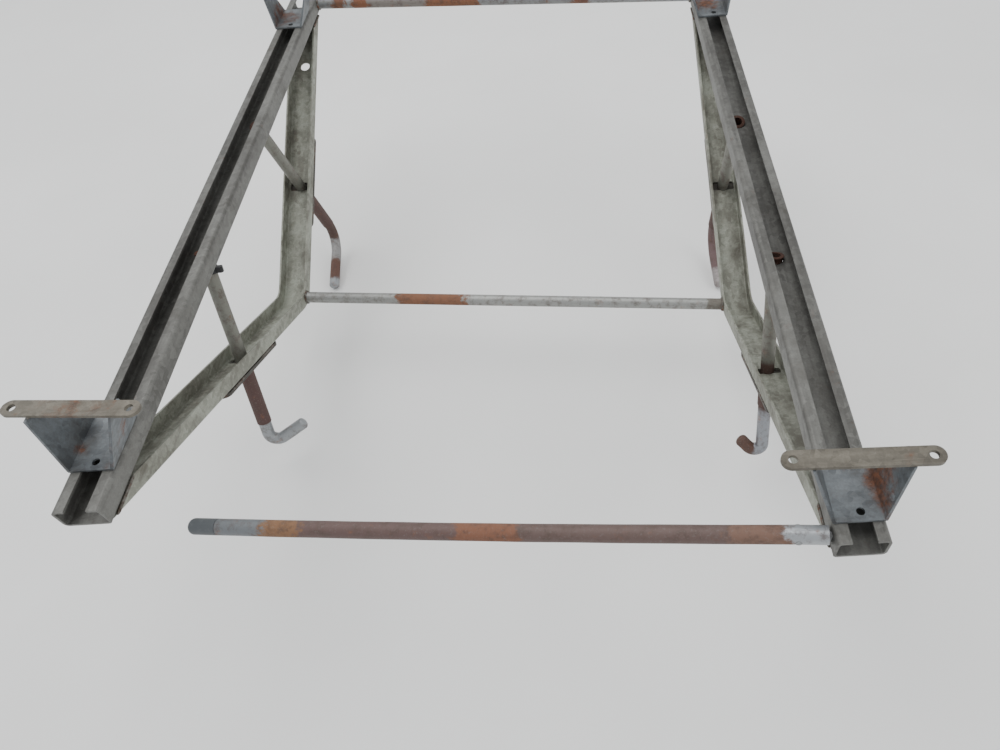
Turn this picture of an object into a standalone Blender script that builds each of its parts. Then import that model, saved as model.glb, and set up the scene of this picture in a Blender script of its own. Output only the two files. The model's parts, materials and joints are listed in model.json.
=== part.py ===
"""Carrying frame of a luggage rack: two trussed side frames of channel, joined by round bars.

Each side frame is a straight slotted top rail over a bent lower chord, which is an open trough.
Two tube rods pass through rail and chord and end below the chord as hooks, which turn about their
own length. A bar across the front hangs from a pivot on the right rail. Four folded brackets on
the rails carry drilled strips. All lengths are in metres. X runs across the rack, Y from the front
bar to the rear bar, Z is up.
"""

import bpy
import bmesh
import math
from mathutils import Matrix, Vector

# Driving dimensions ----------------------------------------------------------------------------
RAIL_LENGTH = 0.892
RAIL_SPACING = 0.607
SIDE_STAGGER = 0.065
GAP = 0.0003

CHANNEL_WIDTH = 0.040
RAIL_HEIGHT = 0.022
CHANNEL_WALL = 0.00225
CHANNEL_SLOT = 0.0184
CHANNEL_RADIUS = 0.004

CHORD_WIDTH = 0.0375
CHORD_HEIGHT = 0.018
CHORD_FRONT_INSET = 0.003
CHORD_REAR_INSET = 0.020
KINK_FROM_FRONT = 0.443
KINK_DROP = 0.2027
KINK_RADIUS = 0.045
FOOT_SLOT_WIDTH = 0.030
FOOT_SLOT_LENGTH = 0.012
VENT_HOLE_RADIUS = 0.007
VENT_FROM_REAR = 0.105

ROD_RADIUS = 0.0075
ROD_WALL = 0.0020
ROD_CLEARANCE = 0.0004
ROD_FROM_FRONT = {"front": 0.3194, "rear": 0.5610}
ROD_LEAN = math.radians(19.8)
ROD_RIM_FLARE = 0.0015
ROD_RIM_THICKNESS = 0.0010
ROD_SIDES = 20

SLEEVE_WALL = 0.0006

DOUBLER_LENGTH = 0.148
DOUBLER_WIDTH = 0.036
DOUBLER_SHIFT_UP = 0.010
DOUBLER_THICKNESS = 0.004
DOUBLER_CORNER = 0.009

BAR_RADIUS = 0.0075
BAR_WALL = 0.0015
BAR_SIDES = 24
END_BAR_INSET = 0.0112

FRONT_BAR_END_CLEARANCE = 0.0246
FRONT_BAR_YAW = math.radians(8.2)
FRONT_BAR_DROOP = math.radians(7.3)
FRONT_BAR_SAG = 0.0035
CAP_LENGTH = 0.029
CAP_SPIGOT = 0.014
PIVOT_FROM_WALL = 0.024
PIVOT_END_CLEARANCE = 0.0007
PIVOT_PIN_RADIUS = 0.0024
PIVOT_PIN_CLEARANCE = 0.0002
LUG_THICKNESS = 0.0040
LUG_CLEARANCE = 0.0006
LUG_EDGE_CLEARANCE = 0.00085
LUG_NOSE_CLEARANCE = 0.0018

BRACKET_LENGTH = 0.056
BRACKET_WIDTH = {"left": 0.038, "right": 0.040}
BRACKET_SHEET = 0.0020
BRACKET_HEIGHT = {"left": 0.060, "right": 0.0575}
BRACKET_LEAN = {"front": 0.012, "rear": 0.0265}
FLANK_OUT = {"left": 0.006, "right": 0.010}
FLANK_IN = {"left": 0.025, "right": 0.021}
BASE_HOLE_RADIUS = 0.0033
BASE_HOLE_FROM_EDGE = 0.008
BASE_HOLE_SHIFT = 0.002

STRIP_LENGTH = 0.1135
STRIP_WIDTH = 0.015
STRIP_THICKNESS = 0.003
STRIP_HOLE_RADIUS = 0.0034
STRIP_HOLE_SPACING = 0.0965
STRIP_FROM_EDGE = 0.021
STRIP_SHIFT_IN = {"left": 0.010, "right": 0.005}
STRIP_TURN = {"left": math.radians(-4.4), "right": math.radians(-1.7)}

TIE_FROM_RAIL = 0.011
TIE_WIDTH = 0.0065
TIE_THICKNESS = 0.0018
TIE_HEAD = 0.0070
TIE_TAIL = 0.0015

SIDES = {"left": -1.0, "right": 1.0}

# Shank length below the rail, reach of the tip, bend, turn towards the inside, bend radius, sleeve
HOOKS = {
    ("front", "left"): (0.2536, 0.052, 117.0, 75.0, 0.011, 0.080),
    ("front", "right"): (0.2536, 0.039, 136.0, 75.0, 0.0095, 0.036),
    ("rear", "left"): (0.2780, 0.103, 100.0, 4.0, 0.030, 0.098),
    ("rear", "right"): (0.2780, 0.093, 100.0, -1.0, 0.030, 0.098),
}

# Distance of each bracket's front edge from the end of its own rail in the same row
BRACKET_FROM_END = {
    ("front", "left"): 0.037,
    ("front", "right"): 0.016,
    ("rear", "left"): 0.110,
    ("rear", "right"): 0.103,
}

# Derived dimensions ----------------------------------------------------------------------------
HALF_SPACING = RAIL_SPACING / 2
HALF_WIDTH = CHANNEL_WIDTH / 2
CHORD_CENTRE = HALF_SPACING - HALF_WIDTH + CHORD_WIDTH / 2
CHORD_REAR_END = RAIL_LENGTH - CHORD_REAR_INSET
SLOPE_FRONT = math.atan2(KINK_DROP, KINK_FROM_FRONT - CHORD_FRONT_INSET)
SLOPE_REAR = math.atan2(KINK_DROP, CHORD_REAR_END - KINK_FROM_FRONT)
BAR_HEIGHT = -RAIL_HEIGHT / 2
ROD_RIM_RADIUS = ROD_RADIUS + ROD_RIM_FLARE
SLEEVE_RADIUS = ROD_RADIUS + GAP + SLEEVE_WALL
ROD_RIM_RISE = (CHANNEL_WALL + GAP) / math.cos(ROD_LEAN) + ROD_RIM_RADIUS * math.tan(ROD_LEAN)
ROD_TOP_RISE = ROD_RIM_RISE + ROD_RIM_THICKNESS
BAR_BORE = BAR_RADIUS - BAR_WALL
FRONT_BAR_REACH = (2 * (HALF_SPACING - HALF_WIDTH) - FRONT_BAR_END_CLEARANCE) / math.cos(FRONT_BAR_YAW)
PIVOT_SWING = PIVOT_FROM_WALL * math.cos(FRONT_BAR_YAW) - PIVOT_END_CLEARANCE
PIVOT_OVERHANG = math.sqrt(PIVOT_SWING**2 - BAR_RADIUS**2)
LUG_HALF_HEIGHT = math.sqrt(BAR_BORE**2 - (LUG_THICKNESS / 2) ** 2) - LUG_EDGE_CLEARANCE

FINISHES = {
    "galvanised": ((0.33, 0.33, 0.32), 0.55, 0.8),
    "chord_zinc": ((0.38, 0.39, 0.36), 0.60, 0.7),
    "bare_zinc": ((0.42, 0.43, 0.44), 0.40, 0.9),
    "red_lead": ((0.14, 0.08, 0.07), 0.75, 0.1),
    "bracket_zinc": ((0.36, 0.37, 0.38), 0.50, 0.8),
    "strip_steel": ((0.30, 0.29, 0.26), 0.55, 0.7),
    "rust": ((0.24, 0.11, 0.05), 0.85, 0.2),
    "dark_plastic": ((0.08, 0.09, 0.10), 0.50, 0.0),
    "black_plastic": ((0.012, 0.012, 0.012), 0.45, 0.0),
}


def clear_scene():
    """Remove every object that the file starts with."""
    for item in list(bpy.data.objects):
        bpy.data.objects.remove(item, do_unlink=True)


def make_material(name):
    """Principled material of one finish."""
    colour, roughness, metallic = FINISHES[name]
    material = bpy.data.materials.new(name)
    material.use_nodes = True
    shader = material.node_tree.nodes["Principled BSDF"]
    shader.inputs["Base Color"].default_value = (*colour, 1.0)
    shader.inputs["Roughness"].default_value = roughness
    shader.inputs["Metallic"].default_value = metallic
    return material


def add_object(name, mesh_data, finish, origin=Vector((0, 0, 0)), smooth=True):
    """Object of a closed mesh given as world points and faces, with its origin at a chosen point."""
    points, faces = mesh_data
    mesh = bpy.data.meshes.new(name)
    mesh.from_pydata([tuple(Vector(point) - origin) for point in points], [], faces)
    shape = bmesh.new()
    shape.from_mesh(mesh)
    bmesh.ops.recalc_face_normals(shape, faces=shape.faces)
    shape.to_mesh(mesh)
    shape.free()
    if smooth:
        mesh.shade_smooth()
        mesh.set_sharp_from_angle(angle=math.radians(40))
    item = bpy.data.objects.new(name, mesh)
    item.location = origin
    if finish:
        mesh.materials.append(make_material(finish))
    bpy.context.collection.objects.link(item)
    return item


def cut(item, name, mesh_data):
    """Cut a closed shape out of an object with a hidden cutter."""
    cutter = add_object(name, mesh_data, None, smooth=False)
    cutter.hide_render = True
    cutter.display_type = "WIRE"
    modifier = item.modifiers.new(name, "BOOLEAN")
    modifier.operation = "DIFFERENCE"
    modifier.solver = "EXACT"
    modifier.object = cutter
    return cutter


# Outlines --------------------------------------------------------------------------------------
def arc(centre, radius, start, end, steps):
    """Points of an arc in a plane, angles in degrees."""
    points = []
    for step in range(steps + 1):
        angle = math.radians(start + (end - start) * step / steps)
        points.append((centre[0] + radius * math.cos(angle), centre[1] + radius * math.sin(angle)))
    return points


def channel_outline(height):
    """Closed outline of the slotted channel, with its slot up and its underside on the X axis."""
    side = HALF_WIDTH
    inner = HALF_WIDTH - CHANNEL_WALL
    lip = CHANNEL_SLOT / 2
    radius = CHANNEL_RADIUS
    inner_radius = CHANNEL_RADIUS - CHANNEL_WALL
    right = [(0.0, 0.0)]
    right += arc((side - radius, radius), radius, -90, 0, 4)
    right += arc((side - radius, height - radius), radius, 0, 90, 4)
    right += [(lip, height), (lip, height - CHANNEL_WALL)]
    right += arc((inner - inner_radius, height - CHANNEL_WALL - inner_radius), inner_radius, 90, 0, 2)
    right += arc((inner - inner_radius, CHANNEL_WALL + inner_radius), inner_radius, 0, -90, 2)
    right += [(0.0, CHANNEL_WALL)]
    left = [(-x, z) for x, z in reversed(right[1:-1])]
    return right + left


def trough_outline(width, height):
    """Closed outline of an open trough with round lower corners, its underside on the X axis."""
    side = width / 2
    inner = side - CHANNEL_WALL
    radius = CHANNEL_RADIUS
    inner_radius = CHANNEL_RADIUS - CHANNEL_WALL
    right = [(0.0, 0.0)]
    right += arc((side - radius, radius), radius, -90, 0, 4)
    right += [(side, height), (inner, height)]
    right += arc((inner - inner_radius, CHANNEL_WALL + inner_radius), inner_radius, 0, -90, 2)
    right += [(0.0, CHANNEL_WALL)]
    left = [(-x, z) for x, z in reversed(right[1:-1])]
    return right + left


def circle(radius, sides):
    """Points of a circle about the origin of its plane."""
    return arc((0, 0), radius, 0, 360 - 360 / sides, sides - 1)


def rounded_rectangle(length, width, radius, steps=4):
    """Outline of a rectangle with round corners."""
    across = length / 2 - radius
    along = width / 2 - radius
    points = arc((across, along), radius, 0, 90, steps)
    points += arc((-across, along), radius, 90, 180, steps)
    points += arc((-across, -along), radius, 180, 270, steps)
    points += arc((across, -along), radius, 270, 360, steps)
    return points


# Meshes ----------------------------------------------------------------------------------------
def loft(rings):
    """Closed mesh through rings of equal count, with a flat cap at each end."""
    count = len(rings[0])
    points = [point for ring in rings for point in ring]
    faces = [tuple(range(count)), tuple(range(len(points) - count, len(points)))]
    for ring in range(len(rings) - 1):
        for index in range(count):
            after = (index + 1) % count
            start = ring * count
            faces.append((start + index, start + after, start + count + after, start + count + index))
    return points, faces


def hollow_loft(rings):
    """Closed mesh through rings that run out along the outside and back along the inside."""
    count = len(rings[0])
    points = [point for ring in rings for point in ring]
    faces = []
    for ring in range(len(rings)):
        following = (ring + 1) % len(rings)
        for index in range(count):
            after = (index + 1) % count
            faces.append(
                (
                    ring * count + index,
                    ring * count + after,
                    following * count + after,
                    following * count + index,
                )
            )
    return points, faces


def prism(outline, thickness, frame):
    """Flat outline carried through a thickness; the frame places its plane and its third axis."""
    rings = []
    for height in (0.0, thickness):
        rings.append([frame @ Vector((x, y, height)) for x, y in outline])
    return loft(rings)


def axes_frame(origin, across, along, normal):
    """Frame with the given origin and three unit axes."""
    frame = Matrix.Identity(4)
    for column, axis in enumerate((across, along, normal)):
        for row in range(3):
            frame[row][column] = axis[row]
    for row in range(3):
        frame[row][3] = origin[row]
    return frame


def ring_about(centre, direction, radius, sides):
    """Ring of points about a line through a centre."""
    direction = direction.normalized()
    first = direction.cross(Vector((0, 0, 1)))
    if first.length < 0.1:
        first = direction.cross(Vector((1, 0, 0)))
    first.normalize()
    second = direction.cross(first)
    return [centre + first * x + second * y for x, y in circle(radius, sides)]


def rod_between(start, end, radius, sides=24):
    """Solid round bar between two points."""
    direction = end - start
    rings = [ring_about(start, direction, radius, sides), ring_about(end, direction, radius, sides)]
    return loft(rings)


def box_mesh(low, high):
    """Block between two corners."""
    outline = [(low[0], low[1]), (high[0], low[1]), (high[0], high[1]), (low[0], high[1])]
    frame = Matrix.Translation(Vector((0, 0, low[2])))
    return prism(outline, high[2] - low[2], frame)


# Places ----------------------------------------------------------------------------------------
def front_of(side):
    """Y of the front end of one side's rail."""
    if side == "left":
        return SIDE_STAGGER
    return 0.0


def rod_direction(row):
    """Unit direction down the shank of a rod."""
    lean = math.sin(ROD_LEAN)
    if row == "front":
        lean = -lean
    return Vector((0, lean, -math.cos(ROD_LEAN)))


def rod_start(row, side):
    """Point where a rod's axis crosses the underside of its rail."""
    y = front_of(side) + ROD_FROM_FRONT[row]
    return Vector((SIDES[side] * CHORD_CENTRE, y, -RAIL_HEIGHT))


def chord_crossing(row, side, depth):
    """Point on a rod's axis at a depth below the underside of the chord's straight run."""
    start = rod_start(row, side)
    direction = rod_direction(row)
    if row == "front":
        slope = SLOPE_FRONT
        run = start.y - front_of(side) - CHORD_FRONT_INSET
        fall = Vector((0, math.cos(slope), -math.sin(slope)))
    else:
        slope = SLOPE_REAR
        run = front_of(side) + CHORD_REAR_END - start.y
        fall = Vector((0, -math.cos(slope), -math.sin(slope)))
    normal = Vector((0, 0, -1)) + fall * fall.z
    normal.normalize()
    reach = (run * math.sin(slope) + depth) / direction.dot(normal)
    return start + direction * reach, fall, normal


# Side frames -----------------------------------------------------------------------------------
def make_rail(side):
    """Straight top rail, slot up, with a hole in its base for each rod."""
    x = SIDES[side] * HALF_SPACING
    outline = channel_outline(RAIL_HEIGHT)
    rings = []
    for y in (front_of(side), front_of(side) + RAIL_LENGTH):
        rings.append([Vector((x + px, y, pz - RAIL_HEIGHT)) for px, pz in outline])
    rail = add_object("top_rail_" + side, loft(rings), "galvanised")
    for row in ("front", "rear"):
        start = rod_start(row, side)
        direction = rod_direction(row)
        hole = rod_between(
            start - direction * (3 * CHANNEL_WALL),
            start + direction * CHANNEL_WALL * 3,
            ROD_RADIUS + ROD_CLEARANCE,
        )
        cut(rail, "rail_hole_" + row + "_" + side, hole)
    return rail


def chord_path():
    """Underside of the chord as points with the direction of each section's height."""
    front = Vector((0, CHORD_FRONT_INSET, -RAIL_HEIGHT))
    rear = Vector((0, CHORD_REAR_END, -RAIL_HEIGHT))
    corner = Vector((0, KINK_FROM_FRONT, -RAIL_HEIGHT - KINK_DROP))
    turn = SLOPE_FRONT + SLOPE_REAR
    tangent = KINK_RADIUS * math.tan(turn / 2)
    down = (corner - front).normalized()
    up = (rear - corner).normalized()
    arc_start = corner - down * tangent
    normal_front = Vector((0, math.sin(SLOPE_FRONT), math.cos(SLOPE_FRONT)))
    centre = arc_start + normal_front * KINK_RADIUS
    path = [(front - down * 0.05, normal_front)]
    steps = 8
    for step in range(steps + 1):
        angle = SLOPE_FRONT - turn * step / steps
        normal = Vector((0, math.sin(angle), math.cos(angle)))
        path.append((centre - normal * KINK_RADIUS, normal))
    path.append((rear + up * 0.05, Vector((0, -math.sin(SLOPE_REAR), math.cos(SLOPE_REAR)))))
    return path


def make_chord(side):
    """Bent lower chord, an open trough, cut off flat under the rail and slotted for its rods."""
    x = SIDES[side] * CHORD_CENTRE
    y = front_of(side)
    outline = trough_outline(CHORD_WIDTH, CHORD_HEIGHT)
    rings = []
    for base, normal in chord_path():
        foot = base + Vector((x, y, 0))
        rings.append([foot + Vector((px, 0, 0)) + normal * pz for px, pz in outline])
    chord = add_object("lower_chord_" + side, loft(rings), "chord_zinc")
    low = (x - CHANNEL_WIDTH, y - 0.1, -RAIL_HEIGHT - GAP)
    high = (x + CHANNEL_WIDTH, y + RAIL_LENGTH + 0.1, 0.1)
    cut(chord, "chord_trim_" + side, box_mesh(low, high))
    for row in ("front", "rear"):
        crossing, fall, normal = chord_crossing(row, side, 0.0)
        direction = rod_direction(row)
        hole = rod_between(
            crossing - direction * CHANNEL_WALL * 3,
            crossing + direction * CHANNEL_WALL * 3,
            ROD_RADIUS + ROD_CLEARANCE,
        )
        cut(chord, "chord_hole_" + row + "_" + side, hole)
        place = crossing - normal * CHANNEL_WALL * 3
        frame = axes_frame(place, fall, Vector((1, 0, 0)), normal)
        slot = rounded_rectangle(FOOT_SLOT_LENGTH, FOOT_SLOT_WIDTH, FOOT_SLOT_LENGTH / 4, 2)
        cut(chord, "chord_slot_" + row + "_" + side, prism(slot, CHANNEL_WALL * 5, frame))
    return chord


def cut_vent(chord):
    """Round vent through the base of the left chord near its rear end."""
    normal = Vector((0, -math.sin(SLOPE_REAR), math.cos(SLOPE_REAR)))
    y = front_of("left") + RAIL_LENGTH - VENT_FROM_REAR
    z = -RAIL_HEIGHT - (VENT_FROM_REAR - CHORD_REAR_INSET) * math.tan(SLOPE_REAR)
    base = Vector((SIDES["left"] * CHORD_CENTRE, y, z))
    hole = rod_between(base - normal * CHANNEL_WALL, base + normal * CHANNEL_WALL * 3, VENT_HOLE_RADIUS)
    cut(chord, "chord_vent", hole)


def make_doubler(row, side):
    """Plate with round corners under the chord, with the rod's hole in it."""
    crossing, fall, normal = chord_crossing(row, side, GAP)
    place = crossing - fall * DOUBLER_SHIFT_UP
    frame = axes_frame(place, fall, Vector((1, 0, 0)), normal)
    outline = rounded_rectangle(DOUBLER_LENGTH, DOUBLER_WIDTH, DOUBLER_CORNER)
    plate = prism(outline, DOUBLER_THICKNESS, frame)
    doubler = add_object("doubler_" + row + "_" + side, plate, "galvanised")
    direction = rod_direction(row)
    hole = rod_between(
        crossing - direction * DOUBLER_THICKNESS * 2,
        crossing + direction * DOUBLER_THICKNESS * 3,
        ROD_RADIUS + ROD_CLEARANCE,
    )
    cut(doubler, "doubler_hole_" + row + "_" + side, hole)
    return doubler


# Hook rods -------------------------------------------------------------------------------------
def hook_path(row, side):
    """Centre points and directions down the shank, round the bend and out to the tip."""
    shank, reach, bend, turn, radius, _ = HOOKS[(row, side)]
    bend = math.radians(bend)
    turn = math.radians(turn)
    start = rod_start(row, side)
    down = rod_direction(row)
    inward = Vector((-SIDES[side], 0, 0))
    towards_middle = Vector((0, -down.z, down.y))
    if row == "rear":
        towards_middle = -towards_middle
    aside = towards_middle * math.cos(turn) + inward * math.sin(turn)
    elbow = start + down * shank
    tangent = radius * math.tan(bend / 2)
    bend_start = elbow - down * tangent
    path = [(start - down * ROD_TOP_RISE, down)]
    steps = 8
    for step in range(steps + 1):
        angle = bend * step / steps
        centre = bend_start + down * radius * math.sin(angle) + aside * radius * (1 - math.cos(angle))
        path.append((centre, down * math.cos(angle) + aside * math.sin(angle)))
    direction = path[-1][1]
    path.append((elbow + direction * (reach - ROD_RADIUS * 0.6), direction))
    return path


def carried_rings(path, profile):
    """Rings of given radii at given path places, turned along without twist."""
    rings = []
    first = path[0][1].cross(Vector((1, 0, 0))).normalized()
    frames = []
    previous = path[0][1]
    for _, direction in path:
        first = previous.rotation_difference(direction) @ first
        frames.append((first.copy(), direction.cross(first)))
        previous = direction
    for place, radius, ahead in profile:
        centre, direction = path[place]
        across, along = frames[place]
        centre = centre + direction * ahead
        rings.append([centre + across * x + along * y for x, y in circle(radius, ROD_SIDES)])
    return rings


def make_hook(row, side):
    """Tube rod with a flared top end, a bent hook and a domed tip; its bore is open at the top."""
    path = hook_path(row, side)
    last = len(path) - 1
    inner = ROD_RADIUS - ROD_WALL
    profile = [(0, ROD_RIM_RADIUS, 0.0), (0, ROD_RIM_RADIUS, ROD_RIM_THICKNESS)]
    profile.append((0, ROD_RADIUS, ROD_RIM_THICKNESS))
    profile += [(place, ROD_RADIUS, 0.0) for place in range(1, last + 1)]
    for angle in (30, 60, 80):
        radius = ROD_RADIUS * math.cos(math.radians(angle))
        profile.append((last, radius, ROD_RADIUS * 0.6 * math.sin(math.radians(angle))))
    outside = carried_rings(path, profile)
    bore_places = [(place, inner, 0.0) for place in range(last - 1, -1, -1)]
    inside = carried_rings(path, bore_places)
    rings = outside + inside
    points, faces = hollow_loft(rings)
    count = ROD_SIDES
    tip_ring = len(outside) - 1
    bridge = range(tip_ring * count, (tip_ring + 1) * count)
    faces = [face for face in faces if not joins_rings(face, tip_ring, tip_ring + 1, count)]
    faces.append(tuple(bridge))
    faces.append(tuple(range((tip_ring + 1) * count, (tip_ring + 2) * count)))
    return add_object("hook_rod_" + row + "_" + side, (points, faces), "bare_zinc", rod_start(row, side))


def joins_rings(face, lower, upper, count):
    """Whether a face spans from one ring to another."""
    rings = {index // count for index in face}
    return rings == {lower, upper}


def make_sleeve(row, side):
    """Thicker tube over the shank, just below the doubler, which stops the rod from rising."""
    length = HOOKS[(row, side)][5]
    crossing, _, normal = chord_crossing(row, side, DOUBLER_THICKNESS + 2 * GAP)
    down = rod_direction(row)
    top = crossing + down * (SLEEVE_RADIUS * math.tan(down.angle(normal)))
    bottom = top + down * length
    inner = ROD_RADIUS + GAP
    rings = [
        ring_about(top, down, SLEEVE_RADIUS, ROD_SIDES),
        ring_about(bottom, down, SLEEVE_RADIUS, ROD_SIDES),
        ring_about(bottom, down, inner, ROD_SIDES),
        ring_about(top, down, inner, ROD_SIDES),
    ]
    name = "hook_sleeve_" + row + "_" + side
    return add_object(name, hollow_loft(rings), "red_lead", rod_start(row, side))


def make_cable_tie():
    """Plastic tie round the front left rod, with its square head and a short tail in one piece."""
    down = rod_direction("front")
    start = rod_start("front", "left")
    centre = start + down * TIE_FROM_RAIL
    inner = ROD_RADIUS + GAP
    band = [
        ring_about(centre, down, inner + TIE_THICKNESS, ROD_SIDES),
        ring_about(centre + down * TIE_WIDTH, down, inner + TIE_THICKNESS, ROD_SIDES),
        ring_about(centre + down * TIE_WIDTH, down, inner, ROD_SIDES),
        ring_about(centre, down, inner, ROD_SIDES),
    ]
    tie = add_object("cable_tie", hollow_loft(band), "black_plastic", start)
    across = Vector((1, 0, 0))
    along = down.cross(across)
    frame = axes_frame(centre + across * (inner + TIE_THICKNESS / 2), across, along, down)
    half = TIE_HEAD / 2
    outline = [(0, -half), (TIE_HEAD * 0.8, -half), (TIE_HEAD * 0.8 + TIE_TAIL, half * 0.4)]
    outline += [(TIE_HEAD * 0.8, half), (0, half)]
    head = add_object("tie_head", prism(outline, TIE_WIDTH, frame), None, smooth=False)
    head.hide_render = True
    head.display_type = "WIRE"
    union = tie.modifiers.new("tie_head", "BOOLEAN")
    union.operation = "UNION"
    union.solver = "EXACT"
    union.object = head
    return tie


# Cross bars ------------------------------------------------------------------------------------
def wall_to_wall_bar(name, y, z, finish):
    """Tube from the right side frame to the left one, its ends cut flat along their walls."""
    right = Vector((HALF_SPACING - HALF_WIDTH - GAP, y, z))
    left = Vector((-right.x, y + SIDE_STAGGER, z))
    direction = (left - right).normalized()
    rings = []
    for centre, radius in (
        (right, BAR_RADIUS),
        (left, BAR_RADIUS),
        (left, BAR_BORE),
        (right, BAR_BORE),
    ):
        ring = ring_about(centre, direction, radius, BAR_SIDES)
        rings.append([point + direction * ((centre.x - point.x) / direction.x) for point in ring])
    return add_object(name, hollow_loft(rings), finish)


def pivot_point():
    """Centre of the front bar's pivot."""
    wall = HALF_SPACING - HALF_WIDTH
    centre = Vector((wall, END_BAR_INSET, BAR_HEIGHT))
    level = Vector((-math.cos(FRONT_BAR_YAW), math.sin(FRONT_BAR_YAW), 0))
    return centre + level * PIVOT_FROM_WALL


def pivot_axis():
    """Axis about which the front bar drops."""
    return Vector((-math.sin(FRONT_BAR_YAW), -math.cos(FRONT_BAR_YAW), 0))


def front_bar_frame():
    """Frame at the pivot with X out along the hanging bar, Y along the pivot and Z its upper side."""
    turn = Matrix.Rotation(FRONT_BAR_DROOP, 3, pivot_axis())
    level = Vector((-math.cos(FRONT_BAR_YAW), math.sin(FRONT_BAR_YAW), 0))
    out = turn @ level
    along = pivot_axis()
    up = out.cross(along)
    return axes_frame(pivot_point(), out, along, up)


def front_bar_centre(distance):
    """Offset of the bar's axis above its chord line: a shallow sag that vanishes at both ends."""
    length = FRONT_BAR_REACH - PIVOT_FROM_WALL
    share = min(max(distance / length, 0.0), 1.0)
    return -4 * FRONT_BAR_SAG * share * (1 - share)


def round_rings(frame, stations, sides):
    """Rings across the bar's own X at given distances and radii."""
    rings = []
    for distance, radius in stations:
        height = front_bar_centre(distance)
        ring = [frame @ Vector((distance, y, height + z)) for y, z in circle(radius, sides)]
        rings.append(ring)
    return rings


def make_front_bar():
    """Bowed tube with a slotted end at the pivot; the slot is open at the end and underneath."""
    frame = front_bar_frame()
    start = -PIVOT_OVERHANG
    end = FRONT_BAR_REACH - PIVOT_FROM_WALL - CAP_LENGTH
    spans = 12
    places = [start, 0.0]
    places += [end * step / spans for step in range(1, spans + 1)]
    stations = [(place, BAR_RADIUS) for place in places]
    stations += [(place, BAR_BORE) for place in reversed(places)]
    rings = round_rings(frame, stations, BAR_SIDES)
    bar = add_object("front_bar", hollow_loft(rings), "rust", pivot_point())
    half = LUG_THICKNESS / 2 + LUG_CLEARANCE
    low = Vector((start - BAR_RADIUS, -half, -2 * BAR_RADIUS))
    high = Vector((LUG_HALF_HEIGHT + LUG_NOSE_CLEARANCE, half, 0.0))
    outline = [(low.x, low.y), (high.x, low.y), (high.x, high.y), (low.x, high.y)]
    slot = prism(outline, high.z - low.z, frame @ Matrix.Translation(Vector((0, 0, low.z))))
    cut(bar, "front_bar_slot", slot)
    reach = 2 * BAR_RADIUS
    bore = rod_between(
        frame @ Vector((0, -reach, 0)),
        frame @ Vector((0, reach, 0)),
        PIVOT_PIN_RADIUS + PIVOT_PIN_CLEARANCE,
    )
    cut(bar, "front_bar_bore", bore)
    return bar


def make_front_cap():
    """Domed end plug of the front bar, with a spigot inside the tube."""
    frame = front_bar_frame()
    end = FRONT_BAR_REACH - PIVOT_FROM_WALL - CAP_LENGTH
    spigot = BAR_BORE - GAP
    dome = BAR_RADIUS * 0.75
    stations = [(end - CAP_SPIGOT, spigot), (end + GAP, spigot), (end + GAP, BAR_RADIUS)]
    straight = end + CAP_LENGTH - dome
    stations.append((straight, BAR_RADIUS))
    for angle in (25, 50, 70, 84):
        turn = math.radians(angle)
        stations.append((straight + dome * math.sin(turn), BAR_RADIUS * math.cos(turn)))
    rings = round_rings(frame, stations, BAR_SIDES)
    return add_object("front_bar_cap", loft(rings), "dark_plastic", pivot_point())


def make_pivot_lug():
    """Flat lug on the right rail's inner wall, with a round nose inside the bar's slotted end."""
    wall = HALF_SPACING - HALF_WIDTH - GAP
    level = Vector((-math.cos(FRONT_BAR_YAW), math.sin(FRONT_BAR_YAW), 0))
    frame = axes_frame(pivot_point(), level, pivot_axis(), level.cross(pivot_axis()))
    half = LUG_HALF_HEIGHT
    nose = arc((0, 0), half, 90, -90, 10)
    faces_y = (-LUG_THICKNESS / 2, LUG_THICKNESS / 2)
    rings = []
    for y in faces_y:
        ring = [frame @ Vector((x, y, z)) for x, z in nose]
        for z in (-half, half):
            corner = frame @ Vector((0, y, z))
            ring.append(corner + level * ((wall - corner.x) / level.x))
        rings.append(ring)
    lug = add_object("pivot_lug", loft(rings), "galvanised")
    reach = LUG_THICKNESS
    bore = rod_between(
        frame @ Vector((0, -reach, 0)),
        frame @ Vector((0, reach, 0)),
        PIVOT_PIN_RADIUS + PIVOT_PIN_CLEARANCE,
    )
    cut(lug, "lug_bore", bore)
    return lug


def make_pivot_pin():
    """Plain pin through the bar and the lug, its ends level with the tube."""
    frame = front_bar_frame()
    reach = BAR_RADIUS
    pin = rod_between(frame @ Vector((0, -reach, 0)), frame @ Vector((0, reach, 0)), PIVOT_PIN_RADIUS)
    return add_object("pivot_pin", pin, "bare_zinc", pivot_point())


# Brackets --------------------------------------------------------------------------------------
def bracket_place(row, side):
    """Middle of a bracket's base, on top of its rail."""
    from_end = BRACKET_FROM_END[(row, side)]
    y = front_of(side) + (from_end if row == "front" else RAIL_LENGTH - from_end) + BRACKET_LENGTH / 2
    return Vector((SIDES[side] * HALF_SPACING, y, GAP))


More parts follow.
